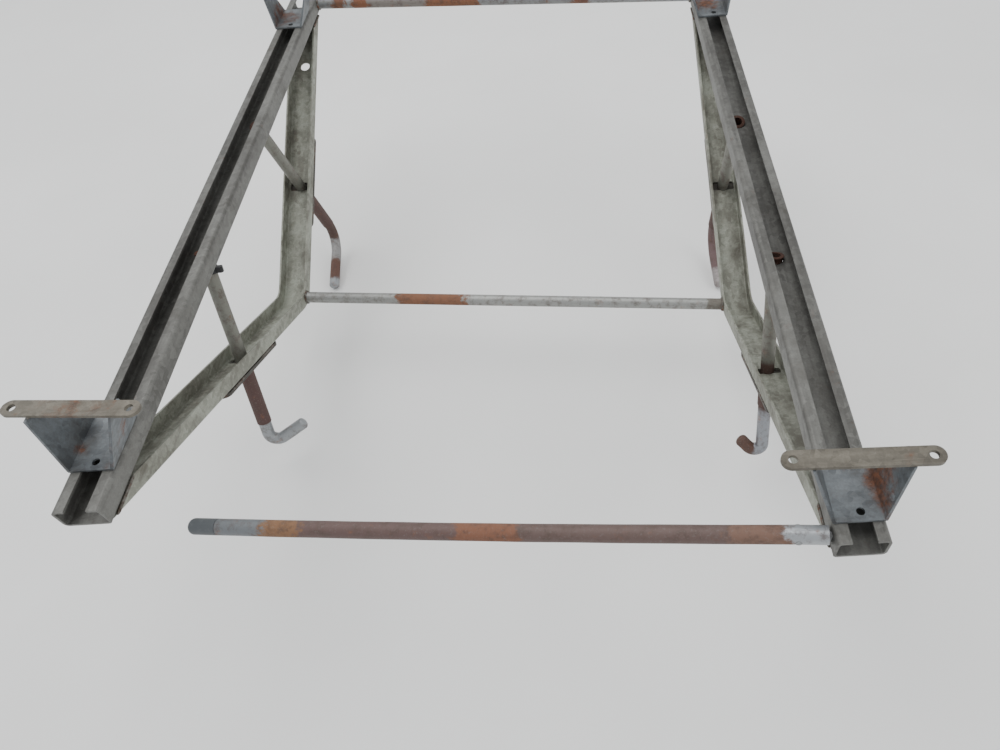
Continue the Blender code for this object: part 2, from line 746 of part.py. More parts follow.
def make_bracket(row, side):
    """Folded sheet: a drilled base with a flank at each edge, splayed and narrowed towards the top."""
    place = bracket_place(row, side)
    inward = -SIDES[side]
    top = BRACKET_HEIGHT[side] - STRIP_THICKNESS - 2 * GAP
    half = BRACKET_WIDTH[side] / 2
    sheet = BRACKET_SHEET
    outer = half + FLANK_OUT[side]
    inner = half + FLANK_IN[side]
    outline = [
        (-half, 0),
        (half, 0),
        (inner, top),
        (inner - sheet, top),
        (half - sheet, sheet),
        (sheet - half, sheet),
        (sheet - outer, top),
        (-outer, top),
    ]
    rings = []
    for y in (-BRACKET_LENGTH / 2, BRACKET_LENGTH / 2):
        rings.append([place + Vector((inward * x, y, z)) for x, z in outline])
    bracket = add_object("bracket_" + row + "_" + side, loft(rings), "bracket_zinc", place, smooth=False)
    for end, sign in (("front", -1.0), ("rear", 1.0)):
        edge = sign * BRACKET_LENGTH / 2
        lean = sign * BRACKET_LEAN[end]
        wedge = [(edge, sheet), (edge - lean, top + GAP), (edge + lean, top + GAP), (edge + lean, sheet)]
        reach = 2 * inner
        planes = []
        for x in (-reach, reach):
            planes.append([place + Vector((x, y, z)) for y, z in wedge])
        cut(bracket, "bracket_trim_" + end + "_" + row + "_" + side, loft(planes))
    hole = place + Vector((BASE_HOLE_SHIFT, BASE_HOLE_FROM_EDGE - BRACKET_LENGTH / 2, 0))
    rise = Vector((0, 0, sheet * 2))
    cut(bracket, "base_hole_" + row + "_" + side, rod_between(hole - rise, hole + rise, BASE_HOLE_RADIUS))
    return bracket


def make_strip(row, side):
    """Flat strip with round ends and a hole near each end, on top of a bracket's flanks."""
    place = bracket_place(row, side)
    inwards = -SIDES[side] * STRIP_SHIFT_IN[side]
    back = STRIP_FROM_EDGE - BRACKET_LENGTH / 2
    shift = Vector((inwards, back, BRACKET_HEIGHT[side] - STRIP_THICKNESS - GAP))
    frame = Matrix.Translation(place + shift) @ Matrix.Rotation(STRIP_TURN[side], 4, "Z")
    outline = rounded_rectangle(STRIP_LENGTH, STRIP_WIDTH, STRIP_WIDTH / 2 - 0.0001, 8)
    strip = add_object("strip_" + row + "_" + side, prism(outline, STRIP_THICKNESS, frame), "strip_steel")
    for end, sign in (("outer", -1.0), ("inner", 1.0)):
        centre = frame @ Vector((sign * STRIP_HOLE_SPACING / 2, 0, STRIP_THICKNESS / 2))
        rise = Vector((0, 0, STRIP_THICKNESS))
        hole = rod_between(centre - rise, centre + rise, STRIP_HOLE_RADIUS)
        cut(strip, "strip_hole_" + end + "_" + row + "_" + side, hole)
    return strip


def bounds_along(items, axis):
    """Lowest and highest world position of some objects along one axis."""
    places = [(item.location + vertex.co)[axis] for item in items for vertex in item.data.vertices]
    return min(places), max(places)


def stand_on_ground(rails, strips, hooks):
    """Move everything so that the origin is under the middle of the rack, on the ground."""
    left, right = bounds_along(strips, 0)
    front, rear = bounds_along(rails, 1)
    bottom, _ = bounds_along(hooks, 2)
    shift = Vector((-(left + right) / 2, -(front + rear) / 2, -bottom))
    for item in bpy.data.objects:
        item.location += shift


def main():
    """Build every piece of the rack."""
    clear_scene()
    rails = []
    strips = []
    hooks = []
    for side in SIDES:
        rails.append(make_rail(side))
        chord = make_chord(side)
        if side == "left":
            cut_vent(chord)
        for row in ("front", "rear"):
            make_doubler(row, side)
            hooks.append(make_hook(row, side))
            make_sleeve(row, side)
            make_bracket(row, side)
            strips.append(make_strip(row, side))
    make_cable_tie()
    chord_middle = -RAIL_HEIGHT - KINK_DROP + kink_lift() + CHORD_HEIGHT / 2
    wall_to_wall_bar("centre_bar", KINK_FROM_FRONT, chord_middle, "bare_zinc")
    wall_to_wall_bar("rear_bar", RAIL_LENGTH - END_BAR_INSET, BAR_HEIGHT, "rust")
    make_front_bar()
    make_front_cap()
    make_pivot_lug()
    make_pivot_pin()
    stand_on_ground(rails, strips, hooks)


def kink_lift():
    """Height by which the rounded bend stands above the sharp corner of the chord's underside."""
    turn = (SLOPE_FRONT + SLOPE_REAR) / 2
    return KINK_RADIUS * (1 / math.cos(turn) - 1)


main()
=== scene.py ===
"""Weathered luggage rack: two trussed channel side frames on hook-ended rods, with a drop bar.

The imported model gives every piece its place. This script dresses its pieces, lays smooth tube,
weld beads and small hardware over them, and sets a plain studio round the result. X runs across
the rack, Y from the drop bar to the rear bar and Z is up, all in metres.
"""

import json
import logging
import math
from dataclasses import dataclass, field
from enum import Enum
from typing import Optional, Sequence, Union

import bpy
import numpy as np
from mathutils import Matrix, Vector


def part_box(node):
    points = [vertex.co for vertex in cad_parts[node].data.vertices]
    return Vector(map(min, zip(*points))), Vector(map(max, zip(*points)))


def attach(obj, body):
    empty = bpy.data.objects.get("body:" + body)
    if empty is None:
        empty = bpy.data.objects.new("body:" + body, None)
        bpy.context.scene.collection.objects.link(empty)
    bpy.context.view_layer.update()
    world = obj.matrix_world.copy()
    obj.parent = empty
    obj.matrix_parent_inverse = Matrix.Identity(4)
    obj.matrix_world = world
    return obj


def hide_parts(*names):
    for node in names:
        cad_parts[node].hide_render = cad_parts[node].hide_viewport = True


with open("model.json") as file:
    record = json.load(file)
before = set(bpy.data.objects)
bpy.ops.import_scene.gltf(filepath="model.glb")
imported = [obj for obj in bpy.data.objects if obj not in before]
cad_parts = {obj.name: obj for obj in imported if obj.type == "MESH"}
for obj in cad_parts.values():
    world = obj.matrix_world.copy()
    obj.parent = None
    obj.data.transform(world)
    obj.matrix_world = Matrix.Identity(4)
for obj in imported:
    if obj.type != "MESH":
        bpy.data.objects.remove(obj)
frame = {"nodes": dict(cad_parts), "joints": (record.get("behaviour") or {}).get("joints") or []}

LOG = logging.getLogger("luggage_rack")
Array = np.ndarray
Socket = bpy.types.NodeSocket
Value = Union[float, Socket]
Colour = Union[tuple[float, float, float, float], Socket]
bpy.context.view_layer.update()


class Side(Enum):
    """Side of the rack, with the sign of its X."""

    LEFT = -1.0
    RIGHT = 1.0

    @property
    def word(self) -> str:
        """Side as written in a piece's name."""
        return self.name.lower()


class Row(Enum):
    """Row of rods or brackets, counted from the drop bar."""

    FRONT = "front"
    REAR = "rear"

    @property
    def word(self) -> str:
        """Row as written in a piece's name."""
        return self.value


# Colour and node helpers -----------------------------------------------------------------------
def linear(colour: str, alpha: float = 1.0) -> tuple[float, float, float, float]:
    """Linear colour of an sRGB hex string.

    Args:
        colour: Six hex digits, red first.
        alpha: Opacity.

    Returns:
        Red, green, blue and alpha, where each channel c is c / 12.92 below 0.04045 and
        ((c + 0.055) / 1.055) to the power 2.4 above it.
    """
    channels = []
    for place in (0, 2, 4):
        value = int(colour[place : place + 2], 16) / 255
        channels.append(value / 12.92 if value <= 0.04045 else ((value + 0.055) / 1.055) ** 2.4)
    return (channels[0], channels[1], channels[2], alpha)


def per_metre(size_mm: float) -> float:
    """Texture scale whose pattern repeats about once in a size given in millimetres."""
    return 1000.0 / size_mm


class NodeDesk:
    """One material's node tree, with short calls that add and join its nodes."""

    def __init__(self, name: str) -> None:
        """Start a material with an empty tree.

        Args:
            name: Name of the material.
        """
        self.material = bpy.data.materials.new(name)
        self.material.use_nodes = True
        self.tree = self.material.node_tree
        self.tree.nodes.clear()
        self.output = self.tree.nodes.new("ShaderNodeOutputMaterial")
        self.place = self.add("ShaderNodeTexCoord").outputs["Object"]

    def add(self, kind: str, links: Optional[dict] = None, **settings: object) -> bpy.types.Node:
        """Add a node, set its properties and fill its sockets.

        Args:
            kind: Node type.
            links: Socket name or number to a constant or to another node's output.
            settings: Properties of the node itself.

        Returns:
            The new node.
        """
        node = self.tree.nodes.new(kind)
        for key, value in settings.items():
            setattr(node, key, value)
        self.fill(node, links or {})
        return node

    def fill(self, node: bpy.types.Node, links: dict) -> None:
        """Fill a node's sockets with constants or links.

        Args:
            node: The node.
            links: Socket name or number to a constant or to another node's output.
        """
        for key, value in links.items():
            if isinstance(value, Socket):
                self.tree.links.new(value, node.inputs[key])
            else:
                node.inputs[key].default_value = value

    def noise(
        self, size_mm: float, detail: float = 4.0, rough: float = 0.55, place: Optional[Socket] = None
    ) -> Socket:
        """Noise whose blotches are about a given size.

        Args:
            size_mm: Size of a blotch in millimetres.
            detail: Number of finer layers.
            rough: Strength of each finer layer against the one above it.
            place: Coordinates, or none for Object coordinates.

        Returns:
            Output that holds a value near one half.
        """
        links = {"Vector": place or self.place, "Scale": per_metre(size_mm), "Detail": detail}
        links["Roughness"] = rough
        return self.add("ShaderNodeTexNoise", links).outputs["Fac"]

    def stretched(self, scale: Sequence[float]) -> Socket:
        """Object coordinates scaled apart along X, Y and Z, which draws patterns out."""
        return self.add("ShaderNodeMapping", {"Vector": self.place, "Scale": tuple(scale)}).outputs[0]

    def step(
        self, value: Value, low: float, high: float, bottom: float = 0.0, top: float = 1.0
    ) -> Socket:
        """Smooth rise while a value goes from one number to another.

        Args:
            value: Output that is tested.
            low: Value where the rise begins.
            high: Value where it ends.
            bottom: Result at the beginning.
            top: Result at the end.

        Returns:
            Output that holds the result.
        """
        links = {"Value": value, "From Min": low, "From Max": high, "To Min": bottom, "To Max": top}
        node = self.add("ShaderNodeMapRange", links, interpolation_type="SMOOTHSTEP")
        return node.outputs["Result"]

    def sum(self, kind: str, first: Value, second: Value) -> Socket:
        """Arithmetic on two values, held between nothing and one."""
        node = self.add("ShaderNodeMath", {0: first, 1: second}, operation=kind, use_clamp=True)
        return node.outputs[0]

    def mix(self, factor: Value, first: Colour, second: Colour) -> Socket:
        """Blend of two colours by a factor."""
        node = self.add("ShaderNodeMix", {0: factor}, data_type="RGBA")
        self.fill(node, {6: first, 7: second})
        return node.outputs[2]

    def blend(self, factor: Value, first: Value, second: Value) -> Socket:
        """Blend of two numbers by a factor."""
        return self.add("ShaderNodeMix", {0: factor, 2: first, 3: second}, data_type="FLOAT").outputs[0]

    def finish(
        self, colour: Colour, rough: Value, metallic: Value, height: Socket, depth_mm: float
    ) -> bpy.types.Material:
        """Close the tree with a shader and a bump.

        Args:
            colour: Colour output.
            rough: Roughness output or number.
            metallic: Metallic output or number.
            height: Height output of the bump, from 0 to 1.
            depth_mm: Depth in millimetres of a full step of that height.

        Returns:
            The finished material.
        """
        depth = depth_mm / 1000
        bump = self.add("ShaderNodeBump", {"Height": height, "Strength": 1.0, "Distance": depth})
        links = {"Base Color": colour, "Roughness": rough, "Metallic": metallic}
        links["Normal"] = bump.outputs["Normal"]
        shader = self.add("ShaderNodeBsdfPrincipled", links)
        self.tree.links.new(shader.outputs["BSDF"], self.output.inputs["Surface"])
        return self.material


# Finishes --------------------------------------------------------------------------------------
@dataclass(frozen=True)
class Patch:
    """Round stain on a piece: its middle in metres, its radius in metres and its strength."""

    middle: tuple[float, float, float]
    radius: float
    strength: float = 1.0
    stretch: tuple[float, float, float] = (1.0, 1.0, 1.0)


@dataclass(frozen=True)
class Band:
    """Stretch of a bar with its own colour: where it begins and what it looks like."""

    start: float
    colour: str
    metallic: float
    rough: float


@dataclass(frozen=True)
class WeatheredZinc:
    """Hot-dip galvanised steel left outdoors: dull spangle, grime, water streaks and rust."""

    name: str
    light: str = "8E8F8B"
    dark: str = "6A6A66"
    grime: str = "4A443B"
    rust: str = "7A4B30"
    deep_rust: str = "3F2B22"
    metallic: float = 0.45
    rough: float = 0.46
    spangle_mm: float = 5.0
    spangle_share: float = 0.12
    grime_share: float = 0.42
    rust_share: float = 0.06
    streak: tuple[float, float, float] = (1.0, 0.06, 1.0)
    patches: tuple[Patch, ...] = ()

    def build(self) -> bpy.types.Material:
        """Mix spangle, streaks, grime and rust over the zinc.

        Returns:
            The material. Its rust mask is a soft threshold on noise, raised inside each patch
            by a strength that falls to nothing at the patch's radius.
        """
        desk = NodeDesk(self.name)
        cell_links = {"Vector": desk.place, "Scale": per_metre(self.spangle_mm), "Randomness": 1.0}
        cells = desk.add("ShaderNodeTexVoronoi", cell_links).outputs["Color"]
        grey = desk.add("ShaderNodeRGBToBW", {"Color": cells}).outputs[0]
        broad = desk.noise(120, 4)
        streaks = desk.noise(14, 6, 0.62, desk.stretched(self.streak))
        tone = desk.blend(self.spangle_share, desk.blend(0.55, broad, streaks), grey)
        colour = desk.mix(desk.step(tone, 0.36, 0.62), linear(self.dark), linear(self.light))
        dirt = desk.step(desk.noise(48, 7, 0.62), 0.64 - self.grime_share * 0.4, 0.86, 0.0, 0.8)
        colour = desk.mix(dirt, colour, linear(self.grime))
        fine = desk.noise(2.2, 5, 0.7)
        colour = desk.mix(desk.step(fine, 0.3, 0.7, 0.0, 0.25), colour, linear(self.grime))
        scratches = desk.step(desk.noise(3.0, 3, 0.5, desk.stretched(self.streak)), 0.66, 0.74, 0.0, 0.35)
        colour = desk.mix(scratches, colour, linear(self.light))
        stain = desk.noise(16, 8, 0.68)
        for patch in self.patches:
            stain = desk.sum("ADD", stain, self._reach(desk, patch))
        mask = desk.step(stain, 0.66 - self.rust_share, 0.96 - self.rust_share, 0.0, 0.92)
        rust_tone = desk.step(desk.noise(5.0, 7, 0.72), 0.34, 0.66)
        colour = desk.mix(mask, colour, desk.mix(rust_tone, linear(self.deep_rust), linear(self.rust)))
        rough = desk.blend(desk.step(streaks, 0.3, 0.7), self.rough, self.rough + 0.14)
        rough = desk.blend(desk.sum("MAXIMUM", dirt, mask), rough, 0.86)
        metallic = desk.blend(desk.sum("MAXIMUM", dirt, mask), self.metallic, 0.06)
        height = desk.blend(0.35, desk.noise(4.5, 6, 0.6), fine)
        height = desk.sum("ADD", height, desk.sum("MULTIPLY", mask, desk.noise(1.6, 4)))
        return desk.finish(colour, rough, metallic, height, 0.2)

    @staticmethod
    def _reach(desk: NodeDesk, patch: Patch) -> Socket:
        """Strength of a patch at each place, which falls to nothing at its radius.

        Args:
            desk: Node tree.
            patch: The stain.

        Returns:
            Output that holds the strength.
        """
        shift = tuple(-m * s for m, s in zip(patch.middle, patch.stretch))
        links = {"Vector": desk.place, "Scale": patch.stretch, "Location": shift}
        local = desk.add("ShaderNodeMapping", links).outputs[0]
        length = desk.add("ShaderNodeVectorMath", {0: local}, operation="LENGTH").outputs["Value"]
        return desk.step(length, 0.0, patch.radius, 0.45 * patch.strength, 0.0)


@dataclass(frozen=True)
class BandedTube:
    """Old tube whose finish changes along it: zinc, bare steel, oxide paint and rust in bands.

    The axis counts X, Y and Z from zero, and three stands for the distance from the tube's tip.
    """

    name: str
    axis: int
    bands: tuple[Band, ...]
    edge_mm: float = 14.0
    pit_mm: float = 2.6
    stain: str = "4A3A33"
    bloom: str = "7D5136"

    def build(self) -> bpy.types.Material:
        """Lay the bands one after another along one axis.

        Returns:
            The material. Each band starts where the coordinate along the axis, pushed about
            by noise, passes the band's start.
        """
        desk = NodeDesk(self.name)
        if self.axis == 3:
            here = desk.add("ShaderNodeAttribute", attribute_name="run").outputs["Fac"]
        else:
            here = desk.add("ShaderNodeSeparateXYZ", {"Vector": desk.place}).outputs[self.axis]
        ragged = desk.noise(14, 6, 0.7)
        reach = self.edge_mm / 1000
        push = desk.add("ShaderNodeMapRange", {"Value": ragged, "From Min": 0.25, "From Max": 0.75})
        push.inputs["To Min"].default_value = -reach
        push.inputs["To Max"].default_value = reach
        links = {0: here, 1: push.outputs["Result"]}
        along = desk.add("ShaderNodeMath", links, operation="ADD").outputs[0]
        first = self.bands[0]
        colour = linear(first.colour)
        metallic = first.metallic
        rough = first.rough
        for band in self.bands[1:]:
            begun = desk.step(along, band.start - 0.004, band.start + 0.004)
            colour = desk.mix(begun, colour, linear(band.colour))
            metallic = desk.blend(begun, metallic, band.metallic)
            rough = desk.blend(begun, rough, band.rough)
        mottle = desk.step(desk.noise(9, 8, 0.72), 0.46, 0.68, 0.0, 0.7)
        colour = desk.mix(mottle, colour, linear(self.stain))
        bloom = desk.step(desk.noise(15, 7, 0.74), 0.57, 0.72, 0.0, 0.6)
        colour = desk.mix(bloom, colour, linear(self.bloom))
        fine = desk.noise(1.8, 5, 0.7)
        colour = desk.mix(desk.step(fine, 0.5, 0.8, 0.0, 0.3), colour, linear("9A9893"))
        metallic = desk.blend(desk.sum("MAXIMUM", bloom, mottle), metallic, 0.05)
        rough = desk.blend(desk.step(fine, 0.3, 0.7), rough, desk.sum("ADD", rough, 0.14))
        height = desk.blend(0.45, desk.noise(self.pit_mm, 6, 0.65), mottle)
        return desk.finish(colour, rough, metallic, height, 0.22)


@dataclass(frozen=True)
class MouldedPlastic:
    """Injection-moulded plastic with a fine spark-eroded grain and scuffs."""

    name: str
    colour: str
    scuff: str
    rough: float = 0.5

    def build(self) -> bpy.types.Material:
        """Scuffed grain over one colour."""
        desk = NodeDesk(self.name)
        scuff = desk.step(desk.noise(6, 8, 0.72), 0.5, 0.72, 0.0, 0.6)
        colour = desk.mix(scuff, linear(self.colour), linear(self.scuff))
        rough = desk.blend(scuff, self.rough, min(self.rough + 0.25, 0.95))
        return desk.finish(colour, rough, 0.0, desk.noise(0.7, 3), 0.05)


@dataclass(frozen=True)
class WeldMetal:
    """Stick weld bead: dull grey scale, brown slag in its valleys and rust blooms."""

    name: str

    def build(self) -> bpy.types.Material:
        """Mix scale, slag and rust."""
        desk = NodeDesk(self.name)
        colour = desk.mix(desk.step(desk.noise(5, 6), 0.35, 0.65), linear("6F6C66"), linear("4A4038"))
        bloom = desk.step(desk.noise(8, 7, 0.7), 0.52, 0.66, 0.0, 0.8)
        colour = desk.mix(bloom, colour, linear("6E4128"))
        rough, metallic = desk.blend(bloom, 0.55, 0.9), desk.blend(bloom, 0.55, 0.05)
        return desk.finish(colour, rough, metallic, desk.noise(1.4, 5), 0.35)


FLOOR_HEX = "F6F6F5"
RAIL_ZINC = WeatheredZinc("galvanised_rail_zinc", light="777773", dark="4F4E4B", grime="3E3A34")
CHORD_ZINC = WeatheredZinc(
    "galvanised_chord_zinc",
    light="A2A599",
    dark="6B6A60",
    grime="463F35",
    metallic=0.30,
    rough=0.54,
    grime_share=0.50,
)
# Doubler plates: their near-black tone is painted shade under the chord; the grime and rust over it are the
# plates' own.
DOUBLER_STEEL_AND_SHADE = WeatheredZinc(
    "doubler_plate_steel", light="4E4B46", dark="2E2B27", metallic=0.4, grime_share=0.6, rust_share=0.12
)
BRACKET_ZINC = WeatheredZinc(
    "folded_bracket_zinc",
    light="7A8084",
    dark="4C5054",
    rough=0.42,
    streak=(0.3, 1.0, 0.3),
    rust_share=0.05,
    patches=(
        Patch((0.3215, -0.4330, 0.318), 0.040, 0.85, (2.9, 0.8, 0.6)),
        Patch((-0.3195, -0.3560, 0.310), 0.014, 0.62),
        Patch((-0.2890, -0.3850, 0.314), 0.028, 0.6, (2.0, 1.0, 0.6)),
        Patch((-0.2830, -0.3600, 0.340), 0.034, 0.55, (1.6, 0.9, 0.7)),
        Patch((0.2900, 0.3500, 0.310), 0.050, 0.8),
        Patch((-0.3200, 0.4000, 0.310), 0.050, 0.7),
    ),
)
STRIP_STEEL = WeatheredZinc(
    "flat_strip_steel",
    light="7B766B",
    dark="514D46",
    grime="433B2F",
    rough=0.44,
    streak=(0.06, 1.0, 1.0),
    grime_share=0.46,
    rust_share=0.05,
    patches=(
        Patch((-0.2950, -0.3545, 0.368), 0.046, 0.42, (0.6, 1.4, 1.0)),
        Patch((0.3250, -0.4440, 0.366), 0.018, 0.45),
    ),
)
PIVOT_STEEL = WeatheredZinc("worn_pivot_steel", light="A2A4A6", dark="7B7D7F", rough=0.36, rust_share=0.0)
END_PLUG = MouldedPlastic("moulded_end_plug", "4C5053", "64686A", 0.55)
TIE_NYLON = MouldedPlastic("moulded_tie_nylon", "0E0E0F", "2A2A2B", 0.42)
BEAD_METAL = WeldMetal("stick_weld_bead")
OXIDE_SLEEVE = BandedTube("oxide_painted_sleeve", 2, (Band(0.0, "4E3733", 0.05, 0.68),), 6.0)
FRONT_BAR_FINISH = BandedTube(
    "banded_front_bar",
    0,
    (
        Band(-0.30, "73777A", 0.50, 0.50),
        Band(-0.186, "7F5E44", 0.05, 0.80),
        Band(-0.147, "5E4A46", 0.15, 0.55),
        Band(-0.011, "7A5340", 0.05, 0.80),
        Band(0.044, "604E49", 0.15, 0.55),
        Band(0.205, "74594C", 0.12, 0.68),
        Band(0.249, "A4A7AA", 0.75, 0.32),
    ),
)
CENTRE_BAR_FINISH = BandedTube(
    "banded_centre_bar",
    0,
    (
        Band(-0.30, "8F908D", 0.60, 0.40),
        Band(-0.154, "7B543E", 0.05, 0.80),
        Band(-0.061, "959693", 0.60, 0.40),
        Band(0.262, "6E6A62", 0.30, 0.60),
    ),
)
REAR_BAR_FINISH = BandedTube(
    "banded_rear_bar",
    0,
    (
        Band(-0.30, "7A7C7C", 0.45, 0.52),
        Band(-0.262, "6E4A38", 0.05, 0.85),
        Band(-0.243, "858787", 0.45, 0.50),
        Band(-0.232, "754C36", 0.05, 0.85),
        Band(-0.204, "77716C", 0.30, 0.58),
        Band(-0.118, "785039", 0.05, 0.85),
        Band(-0.033, "7F8080", 0.45, 0.50),
        Band(0.104, "725040", 0.05, 0.85),
        Band(0.134, "8C8E8E", 0.50, 0.48),
    ),
)


# Surfaces --------------------------------------------------------------------------------------
def grid_faces(rows: int, columns: int) -> Array:
    """Quads of a grid whose columns close into a ring.

    Args:
        rows: Number of rings.
        columns: Points in each ring.

    Returns:
        Four corner numbers for each quad: (i, j), (i, j + 1), (i + 1, j + 1) and (i + 1, j),
        with j counted round the ring.
    """
    i, j = np.meshgrid(np.arange(rows - 1), np.arange(columns), indexing="ij")
    after = (j + 1) % columns
    corners = (i * columns + j, i * columns + after, (i + 1) * columns + after, (i + 1) * columns + j)
    return np.stack(corners, axis=-1).reshape(-1, 4)


def ring_surface(name: str, rings: Array, looped: bool = False) -> bpy.types.Object:
    """Smooth closed piece from a stack of rings.

    Args:
        name: Name of the piece.
        rings: Points in the shape (rings, points in a ring, 3).
        looped: Whether the last ring joins the first, in place of a pole at each end.

    Returns:
        The piece. Without a loop each end is closed by a fan to the middle of its last ring.
    """
    rows, columns, _ = rings.shape
    points = rings.reshape(-1, 3)
    if looped:
        quads = grid_faces(rows + 1, columns) % (rows * columns)
        faces = quads.tolist()
    else:
        poles = np.stack((rings[0].mean(axis=0), rings[-1].mean(axis=0)))
        first = rows * columns
        points = np.concatenate((points, poles))
        around = np.arange(columns)
        after = (around + 1) % columns
        last = (rows - 1) * columns
        start_fan = np.stack((after, around, np.full(columns, first)), axis=-1)
        end_fan = np.stack((last + around, last + after, np.full(columns, first + 1)), axis=-1)
        faces = grid_faces(rows, columns).tolist() + start_fan.tolist() + end_fan.tolist()
    mesh = bpy.data.meshes.new(name)
    mesh.from_pydata(points.tolist(), [], faces)
    if signed_volume(points, faces) < 0:
        mesh.flip_normals()
    run = mesh.attributes.new("run", "FLOAT", "POINT")
    run.data.foreach_set("value", run_from_end(rings, len(points)))
    mesh.shade_smooth()
    mesh.set_sharp_from_angle(angle=math.radians(42))
    piece = bpy.data.objects.new(name, mesh)
    bpy.context.scene.collection.objects.link(piece)
    return piece


def run_from_end(rings: Array, count: int) -> Array:
    """Distance of every point from the last ring, measured along the middles of the rings.

    Args:
        rings: Points in the shape (rings, points in a ring, 3).
        count: Number of points of the piece, with or without its two poles.

    Returns:
        One distance for each point: the sum of the gaps between the middles after its ring.
    """
    gaps = np.linalg.norm(np.diff(rings.mean(axis=1), axis=0), axis=1)
    left = np.concatenate((np.cumsum(gaps[::-1])[::-1], [0.0]))
    values = np.repeat(left, rings.shape[1])
    poles = np.array((left[0], 0.0))[: count - len(values)]
    return np.concatenate((values, poles)).astype(np.float32)


def signed_volume(points: Array, faces: Sequence[Sequence[int]]) -> float:
    """Sum of the signed volumes that each face's first three corners make with the middle."""
    corners = np.array([face[:3] for face in faces])
    local = points - points.mean(axis=0)
    a, b, c = local[corners[:, 0]], local[corners[:, 1]], local[corners[:, 2]]
    return float(np.einsum("ij,ij->i", a, np.cross(b, c)).sum())


def path_frames(path: Array) -> tuple[Array, Array, Array]:
    """Directions along a path and two axes across it, carried along without twist.

    Args:
        path: Points in the shape (n, 3).

    Returns:
        Unit tangents and two unit axes. The first axis is the one before it, less its share
        along the new tangent, made unit again.
    """
    tangent = np.gradient(path, axis=0)
    tangent /= np.linalg.norm(tangent, axis=1, keepdims=True)
    seed = np.eye(3)[int(np.argmin(np.abs(tangent[0])))]
    across = np.empty_like(path)
    for place, direction in enumerate(tangent):
        seed = seed - direction * float(seed @ direction)
        seed = seed / np.linalg.norm(seed)
        across[place] = seed
    return tangent, across, np.cross(tangent, across)


def sweep(path: Array, radius: Array, sides: int) -> Array:
    """Rings carried along a path.

    Args:
        path: Points in the shape (n, 3).
        radius: One radius for each point, or a table of (n, sides).
        sides: Points in a ring.

    Returns:
        Rings in the shape (n, sides, 3): the path's point plus the radius times the cosine and
        sine of the angle round it along the two axes across the path.
    """
    _, across, along = path_frames(path)
    angle = np.linspace(0, 2 * np.pi, sides, endpoint=False)
    table = radius if radius.ndim == 2 else np.repeat(radius[:, None], sides, axis=1)
    first = across[:, None, :] * np.cos(angle)[None, :, None]
    second = along[:, None, :] * np.sin(angle)[None, :, None]
    return path[:, None, :] + table[:, :, None] * (first + second)


def ripple(rows: int, sides: int, depth: float, seed: int) -> Array:
    """Gentle unevenness over a tube: three sine waves along it and round it, times a depth."""
    rng = np.random.default_rng(seed)
    along = np.linspace(0, 1, rows)[:, None]
    around = np.linspace(0, 2 * np.pi, sides, endpoint=False)[None, :]
    waves = np.zeros((rows, sides))
    for count in (1, 2, 3):
        phase = rng.uniform(0, 2 * np.pi, 2)
        lengthwise = np.sin(2 * np.pi * count * 2.3 * along + phase[0])
        waves = waves + lengthwise * np.cos(count * around + phase[1])
    return waves * depth / 3


def baked_cut(piece: bpy.types.Object, cutters: Sequence[bpy.types.Object]) -> None:
    """Cut closed shapes out of a piece, keep the result as its mesh and remove the cutters."""
    for cutter in cutters:
        modifier = piece.modifiers.new(cutter.name, "BOOLEAN")
        modifier.operation = "DIFFERENCE"
        modifier.solver = "EXACT"
        modifier.object = cutter
    graph = bpy.context.evaluated_depsgraph_get()
    mesh = bpy.data.meshes.new_from_object(piece.evaluated_get(graph))
    piece.modifiers.clear()
    piece.data = mesh
    mesh.shade_smooth()
    mesh.set_sharp_from_angle(angle=math.radians(42))
    for cutter in cutters:
        bpy.data.objects.remove(cutter, do_unlink=True)


def dress(piece: bpy.types.Object, material: bpy.types.Material) -> None:
    """Give a piece one material in place of all it had."""
    piece.data.materials.clear()
    piece.data.materials.append(material)


def dress_node(node: str, material: bpy.types.Material) -> None:
    """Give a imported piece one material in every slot."""
    item = frame["nodes"][node]
    if not item.material_slots:
        item.data.materials.append(material)
    for slot in item.material_slots:
        slot.material = material
    LOG.info("%s dressed in %s", node, material.name)


def settle(piece: bpy.types.Object, body: str, material: bpy.types.Material) -> None:
    """Dress a new piece and let it move with a body.

    Args:
        piece: The new piece.
        body: Body that it moves with.
        material: Its material.
    """
    dress(piece, material)
    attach(piece, body)
    LOG.info("%s rides on %s in %s", piece.name, body, material.name)


def spot(node: str) -> tuple[Array, Array]:
    """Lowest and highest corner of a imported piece."""
    low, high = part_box(node)
    return np.array(low), np.array(high)


